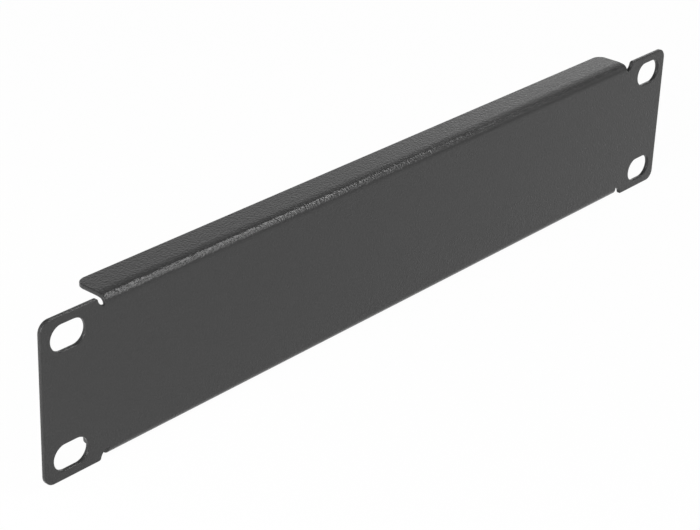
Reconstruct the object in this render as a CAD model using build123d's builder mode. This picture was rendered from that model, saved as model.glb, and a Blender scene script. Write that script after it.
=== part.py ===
"""Blanking panel for a 10 inch rack, one unit high: a single folded steel sheet.

X runs across the panel, Y from front to back, Z up. The back of the sheet, where the ears
rest on the rails, is the plane Y = 0, and the origin is the centre of the four slots.
All sizes are in millimetres.
"""

from build123d import *

from math import cos, radians, sin
import os

os.makedirs("parts", exist_ok=True)

# the sheet and its outline
sheet = 1.2
panel_width = 253.3
panel_height = 43.6
ear_corner = 3.0
edge_break = 0.2

# four slots for the rack screws, two in each ear: their centres lie this far in from the
# panel's ends and edges, which is 236.5 apart across and 31.75 apart up
slot_from_end = 8.4
slot_from_edge = 5.925
slot_length = 10.8
slot_width = 7.0

# folds along the top and the bottom, set in from the ears' edges, depth from the front face;
# the bend is tight on the face's side and takes its last degrees wide, into the flange
fold_set_in = 0.15
fold_depth = 10.9
fold_inner_radius = 1.0
fold_corner = 3.0
run_out_radius = 12.0
run_out_turn = 10

# relief notches between the folds and the ears: the floor starts level at the fold's end
# and runs up in one arc to the ear's inner corner
slot_to_relief = 3.95
relief_width = 2.3
relief_past_bend = 0.15
relief_radius = 2.6
relief_mouth_round = 0.8

# how near counts as the same place, and how sharp a turn counts as a rim, in degrees
same_place = 0.001
rim_turn = 60

half_height = panel_height / 2
slot_pitch_x = panel_width - 2 * slot_from_end
slot_pitch_z = panel_height - 2 * slot_from_edge
ear_inner = (slot_pitch_x - slot_length) / 2 - slot_to_relief
fold_end = ear_inner - relief_width
fold_length = 2 * fold_end
fold_height = panel_height - 2 * fold_set_in
fold_outer_radius = fold_inner_radius + sheet
run_out_sine = sin(radians(run_out_turn))
run_out_cosine = cos(radians(run_out_turn))
bend_depth = run_out_radius * run_out_sine + fold_outer_radius * (1 - run_out_sine)
bend_drop = run_out_radius * (1 - run_out_cosine) + fold_outer_radius * run_out_cosine
bend_line = fold_height / 2 - bend_drop
relief_floor = bend_line - relief_past_bend
relief_centre_x = ear_inner - relief_radius
relief_centre_z = relief_floor + relief_radius


def is_rim(edge, all_faces):
    """True where the skin turns over onto the cut edge, false for a corner through the sheet."""
    middle = edge @ 0.5
    if edge.geom_type == GeomType.LINE and abs(middle.Y + sheet / 2) < same_place:
        return False
    beside = [f for f in all_faces if any(e.is_same(edge) for e in f.edges())]
    return beside[0].normal_at(middle).get_angle(beside[1].normal_at(middle)) > rim_turn


with BuildPart() as blanking_panel:
    # the flat sheet: ears of full height, the middle only up to the bend lines
    with BuildSketch(Plane.XZ):
        Rectangle(panel_width, panel_height)
        fillet(vertices(), ear_corner)
        with Locations((0, half_height), (0, -half_height)):
            Rectangle(fold_length, 2 * (half_height - bend_line), mode=Mode.SUBTRACT)
        with BuildSketch(mode=Mode.SUBTRACT):
            with GridLocations(fold_length + relief_width, panel_height, 2, 2):
                Rectangle(relief_width, 2 * (half_height - relief_floor))
            with GridLocations(2 * relief_centre_x, 2 * relief_centre_z, 2, 2):
                Circle(relief_radius, mode=Mode.INTERSECT)
        on_ear_edges = vertices().filter_by(lambda v: abs(abs(v.Y) - half_height) < same_place)
        fillet(on_ear_edges.sort_by(lambda v: abs(v.X))[:4], relief_mouth_round)
        with GridLocations(slot_pitch_x, slot_pitch_z, 2, 2):
            SlotOverall(slot_length, slot_width, mode=Mode.SUBTRACT)
    extrude(amount=sheet)

    # the channel: web, two bends and the two flanges that point back; its outer skin is
    # drawn from the top flange's rear edge to the panel's middle
    with BuildSketch(Plane.YZ):
        with BuildLine():
            flange = Line((fold_depth - sheet, fold_height / 2), (bend_depth - sheet, fold_height / 2))
            run_out = JernArc(flange @ 1, flange % 1, run_out_radius, run_out_turn)
            bend = JernArc(run_out @ 1, run_out % 1, fold_outer_radius, 90 - run_out_turn)
            Line(bend @ 1, (-sheet, 0))
            offset(amount=sheet, side=Side.LEFT)
        make_face()
        mirror(about=Plane.XZ)
    extrude(amount=fold_end, both=True)
    fillet(edges().filter_by(Axis.Z).group_by(Axis.Y)[-1], fold_corner)

    # every rim of the sheet is broken, so the powder coat can hold on it
    sheet_faces = faces()
    chamfer([e for e in edges() if is_rim(e, sheet_faces)], edge_break)

blanking_panel.part.label = "blanking_panel"
export_step(blanking_panel.part, "parts/blanking_panel.step")
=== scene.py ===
"""Looks for the blanking panel: powder coat, floor, light and camera. All lengths are metres."""

import math

import bpy
from mathutils import Matrix, Vector


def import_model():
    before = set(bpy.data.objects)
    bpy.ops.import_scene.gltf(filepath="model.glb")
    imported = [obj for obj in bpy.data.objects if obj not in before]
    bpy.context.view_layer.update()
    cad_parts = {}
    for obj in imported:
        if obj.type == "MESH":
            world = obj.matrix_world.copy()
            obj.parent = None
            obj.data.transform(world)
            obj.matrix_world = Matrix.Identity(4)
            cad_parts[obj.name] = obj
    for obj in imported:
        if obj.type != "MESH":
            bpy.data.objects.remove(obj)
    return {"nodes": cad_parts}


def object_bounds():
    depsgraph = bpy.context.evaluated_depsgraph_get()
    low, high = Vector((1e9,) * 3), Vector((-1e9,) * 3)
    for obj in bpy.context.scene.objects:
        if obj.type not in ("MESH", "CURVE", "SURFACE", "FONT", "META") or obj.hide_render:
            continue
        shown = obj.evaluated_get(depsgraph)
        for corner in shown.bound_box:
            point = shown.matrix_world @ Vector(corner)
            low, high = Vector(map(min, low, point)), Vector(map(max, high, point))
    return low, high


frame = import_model()
cad_low, cad_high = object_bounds()
panel = frame["nodes"]["blanking_panel"]
millimetre = 0.001
up = Vector((0, 0, 1))

# how near two of the mesh's corners count as one, and how sharp a turn counts as a rim
same_place = 0.0005 * millimetre
rim_turn = math.radians(30)

# powder coat: a fine leathery grain over a faint orange peel
coat_colour = 0.033
coat_specular = 0.24
coat_roughness = 0.215
roughness_spread = 0.02
grain_size = 0.5 * millimetre
grain_height = 0.068 * millimetre
grain_detail = 0.0
peel_size = 2.6 * millimetre
peel_height = 0.015 * millimetre
peel_detail = 1.0
rim_radius = 0.5 * millimetre
rim_samples = 6

# camera: its lens is in millimetres
camera_place = Vector((-397.2, -318.5, 244.7)) * millimetre
camera_heading = math.radians(49.96)
camera_tilt = math.radians(26.49)
camera_roll = math.radians(2.25)
camera_lens = 107.41
camera_near = 0.01
camera_far = 50.0

# floor: seen directly or in gloss, white_share of its look is plain white, the rest is shaded
floor_size = 8.0
floor_colour = 0.8
white_share = 0.97

# sky: levels are radiances, where 1 is the white of the background; it falls off between two
# elevations, and towards the front between two values of its direction's y
sky_horizon = 1.0
sky_overhead = 0.02
sky_fall_from = math.radians(22)
sky_fall_to = math.radians(39)
sky_behind = 1.0
sky_front = 0.6
front_y = -0.5
behind_y = 0.0

# lamps, with levels as the sky's: two hang level, high to the right and in front, which are
# a long key and its wider, dimmer spill
key_place = Vector((1.58, -1.932, 2.0))
key_size = (0.336, 4.77)
key_level = 14.0
spill_place = Vector((2.2, -2.6, 2.0))
spill_size = (0.9, 2.2)
spill_level = 5.0

# two more face the panel, a rim light low behind its right end and a fill close to its left
# end; their places are azimuth from +X to +Y and elevation, both in degrees, and distance
rim_place = (28.6, 7.94, 2.5)
rim_size = (0.8, 0.755)
rim_level = 0.8
fill_place = (-165.8, 23, 0.6)
fill_size = (0.336, 0.336)
fill_level = 10.0


def grey(level):
    """An opaque colour, from 0 for black to 1 for white."""
    return (level, level, level, 1)


def set_sockets(node, **values):
    """Sets a node's inputs by name, with _ for a space."""
    for name, value in values.items():
        node.inputs[name.replace("_", " ")].default_value = value


def node_tree(owner):
    """The node tree of a material or a world, switched on."""
    owner.use_nodes = True
    return owner.node_tree


def combine(tree, operation, first, second):
    """One number out of two."""
    node = tree.nodes.new("ShaderNodeMath")
    node.operation = operation
    tree.links.new(first, node.inputs[0])
    tree.links.new(second, node.inputs[1])
    return node.outputs[0]


def mix(tree, share, first, second):
    """The first shader, with the second over it by its share."""
    node = tree.nodes.new("ShaderNodeMixShader")
    tree.links.new(share, node.inputs["Fac"])
    tree.links.new(first, node.inputs[1])
    tree.links.new(second, node.inputs[2])
    return node.outputs[0]


def noise(tree, place, size, detail):
    """A soft random pattern, from 0 to 1, with spots of about this size."""
    node = tree.nodes.new("ShaderNodeTexNoise")
    set_sockets(node, Scale=1 / size, Detail=detail)
    tree.links.new(place, node.inputs["Vector"])
    return node.outputs["Fac"]


def bump(tree, pattern, height, normal):
    """The normal, tilted as if the pattern stood this high on the surface."""
    node = tree.nodes.new("ShaderNodeBump")
    set_sockets(node, Strength=1.0, Distance=height)
    tree.links.new(pattern, node.inputs["Height"])
    tree.links.new(normal, node.inputs["Normal"])
    return node.outputs["Normal"]


def powder_coat():
    """Dark satin powder coat, rounded off at the rims. Its roughness follows the grain."""
    material = bpy.data.materials.new("powder_coat")
    tree = node_tree(material)
    shader = tree.nodes["Principled BSDF"]
    set_sockets(shader, Base_Color=grey(coat_colour), Specular_IOR_Level=coat_specular)
    place = tree.nodes.new("ShaderNodeTexCoord").outputs["Object"]
    grain = noise(tree, place, grain_size, grain_detail)
    peel = noise(tree, place, peel_size, peel_detail)

    rounded = tree.nodes.new("ShaderNodeBevel")
    rounded.samples = rim_samples
    set_sockets(rounded, Radius=rim_radius)
    peeled = bump(tree, peel, peel_height, rounded.outputs["Normal"])
    grained = bump(tree, grain, grain_height, peeled)
    tree.links.new(grained, shader.inputs["Normal"])

    rough = tree.nodes.new("ShaderNodeMapRange")
    smoothest, roughest = coat_roughness - roughness_spread, coat_roughness + roughness_spread
    set_sockets(rough, To_Min=smoothest, To_Max=roughest)
    tree.links.new(grain, rough.inputs["Value"])
    tree.links.new(rough.outputs["Result"], shader.inputs["Roughness"])
    return material


def dress_panel():
    """The coat, and normals that run smoothly from the flats into the bends and stop at rims."""
    panel.data.materials.clear()
    panel.data.materials.append(powder_coat())
    weld = panel.modifiers.new("weld", "WELD")
    weld.merge_threshold = same_place
    rims = panel.modifiers.new("rims", "EDGE_SPLIT")
    rims.split_angle = rim_turn
    rims.use_edge_sharp = False
    normals = panel.modifiers.new("normals", "WEIGHTED_NORMAL")
    normals.mode = "FACE_AREA_WITH_ANGLE"


def background_rays(tree):
    """1 for rays that should see the white background: from the camera and off gloss or glass."""
    path = tree.nodes.new("ShaderNodeLightPath").outputs
    gloss_or_glass = combine(tree, "MAXIMUM", path["Is Glossy Ray"], path["Is Transmission Ray"])
    return combine(tree, "MAXIMUM", path["Is Camera Ray"], gloss_or_glass)


def floor():
    """A plain white floor that keeps a soft shadow. Seen from below it is clear."""
    material = bpy.data.materials.new("floor")
    tree = node_tree(material)
    tree.nodes.clear()
    shaded = tree.nodes.new("ShaderNodeBsdfDiffuse")
    set_sockets(shaded, Color=grey(floor_colour))
    white = tree.nodes.new("ShaderNodeEmission")
    set_sockets(white, Color=grey(1), Strength=1.0)
    share = tree.nodes.new("ShaderNodeMath")
    share.operation = "MULTIPLY"
    share.inputs[1].default_value = white_share
    tree.links.new(background_rays(tree), share.inputs[0])
    above = mix(tree, share.outputs[0], shaded.outputs[0], white.outputs[0])
    below = tree.nodes.new("ShaderNodeBsdfTransparent").outputs[0]
    is_below = tree.nodes.new("ShaderNodeNewGeometry").outputs["Backfacing"]
    surface = tree.nodes.new("ShaderNodeOutputMaterial").inputs["Surface"]
    tree.links.new(mix(tree, is_below, above, below), surface)

    bpy.ops.mesh.primitive_plane_add(size=floor_size, location=(0, 0, cad_low.z))
    plane = bpy.context.object
    plane.name = "floor"
    plane.data.materials.append(material)


def smooth_step(tree, value, start, end, first_level, last_level):
    """A level that runs smoothly from first to last as the value goes from start to end."""
    step = tree.nodes.new("ShaderNodeMapRange")
    step.interpolation_type = "SMOOTHSTEP"
    set_sockets(step, From_Min=start, From_Max=end, To_Min=first_level, To_Max=last_level)
    tree.links.new(value, step.inputs["Value"])
    return step.outputs["Result"]


def world():
    """A soft sky: white around the horizon, dark overhead and dimmer in front."""
    studio = bpy.data.worlds.new("studio")
    bpy.context.scene.world = studio
    tree = node_tree(studio)
    direction = tree.nodes.new("ShaderNodeSeparateXYZ")
    tree.links.new(tree.nodes.new("ShaderNodeTexCoord").outputs["Generated"], direction.inputs[0])
    y, z = direction.outputs["Y"], direction.outputs["Z"]
    fall_start, fall_end = math.sin(sky_fall_from), math.sin(sky_fall_to)
    by_height = smooth_step(tree, z, fall_start, fall_end, sky_horizon, sky_overhead)
    by_side = smooth_step(tree, y, front_y, behind_y, sky_front, sky_behind)
    sky = tree.nodes["Background"]
    set_sockets(sky, Color=grey(1))
    tree.links.new(combine(tree, "MULTIPLY", by_height, by_side), sky.inputs["Strength"])


def softbox(name, place, back, size, level):
    """A rectangular soft light that the camera doesn't see. It shines away from its back."""
    light = bpy.data.lights.new(name, "AREA")
    light.shape = "RECTANGLE"
    light.size, light.size_y = size
    light.energy = level * math.pi * light.size * light.size_y
    lamp = bpy.data.objects.new(name, light)
    bpy.context.scene.collection.objects.link(lamp)
    lamp.location = place
    lamp.rotation_mode = "QUATERNION"
    lamp.rotation_quaternion = back.to_track_quat("Z", "Y")
    lamp.visible_camera = False


def aimed_softbox(name, azimuth, elevation, distance, size, level):
    """A soft light that faces the panel's centre."""
    turn, rise = math.radians(azimuth), math.radians(elevation)
    across = math.cos(rise)
    place = distance * Vector((across * math.cos(turn), across * math.sin(turn), math.sin(rise)))
    softbox(name, place, place, size, level)


def camera():
    """The photograph's camera."""
    data = bpy.data.cameras.new("camera")
    data.lens = camera_lens
    data.clip_start, data.clip_end = camera_near, camera_far
    eye = bpy.data.objects.new("camera", data)
    bpy.context.scene.collection.objects.link(eye)
    heading = Matrix.Rotation(-camera_heading, 3, "Z")
    tilt = Matrix.Rotation(math.pi / 2 - camera_tilt, 3, "X")
    roll = Matrix.Rotation(camera_roll, 3, "Z")
    eye.rotation_mode = "QUATERNION"
    eye.rotation_quaternion = (heading @ tilt @ roll).to_quaternion()
    eye.location = camera_place
    bpy.context.scene.camera = eye


dress_panel()
floor()
world()
softbox("key", key_place, up, key_size, key_level)
softbox("spill", spill_place, up, spill_size, spill_level)
aimed_softbox("rim", *rim_place, rim_size, rim_level)
aimed_softbox("fill", *fill_place, fill_size, fill_level)
camera()
bpy.context.scene.view_settings.view_transform = "Standard"
